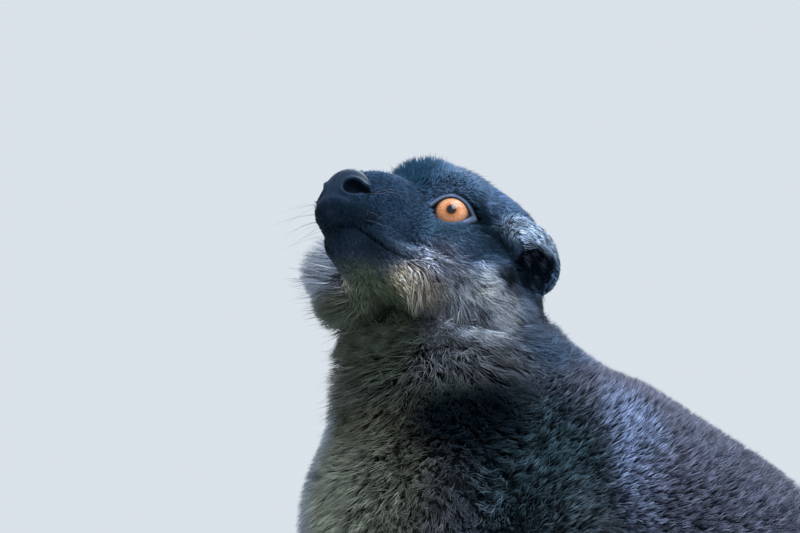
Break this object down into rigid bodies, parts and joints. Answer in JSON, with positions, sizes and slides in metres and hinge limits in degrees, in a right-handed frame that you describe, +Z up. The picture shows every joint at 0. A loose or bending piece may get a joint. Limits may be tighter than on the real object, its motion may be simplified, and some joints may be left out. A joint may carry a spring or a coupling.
{
  "type": "brown lemur model",
  "caption": "Seated brown lemur as a still life-size museum model: hands on the floor, head raised and turned to its left, tail laid out behind.",
  "frame": {"origin": "centre of the whole model's outline seen from above, on the floor", "axes": "+Z up; the body faces -X and its left side is towards -Y; the head is turned a little towards -Y and looks up"},
  "size_m": [0.5142, 0.3707, 0.344],
  "materials": {
    "coat": "dense soft slate-grey fur, standing at the tips of the hairs",
    "dark_coat": "short blue-black fur of the face, crown and ears",
    "tail_coat": "longer dark grey fur of the tail",
    "bare_skin": "moist grained black nose leather",
    "eye": "polished glass eye with an orange iris"
  },
  "bodies": {
    "root": {"head": "dark_coat", "ear_left": "dark_coat", "ear_right": "dark_coat", "eye_left": "eye", "eye_right": "eye", "nose": "bare_skin", "neck": "coat", "chest": "coat", "rump": "coat", "upper_arm_left": "coat", "upper_arm_right": "coat", "forearm_left": "coat", "forearm_right": "coat", "hand_left": "coat", "hand_right": "coat", "thigh_left": "coat", "thigh_right": "coat", "shin_left": "coat", "shin_right": "coat", "foot_left": "coat", "foot_right": "coat", "tail_1": "tail_coat", "tail_2": "tail_coat", "tail_3": "tail_coat", "tail_4": "tail_coat"}
  },
  "joints": []
}
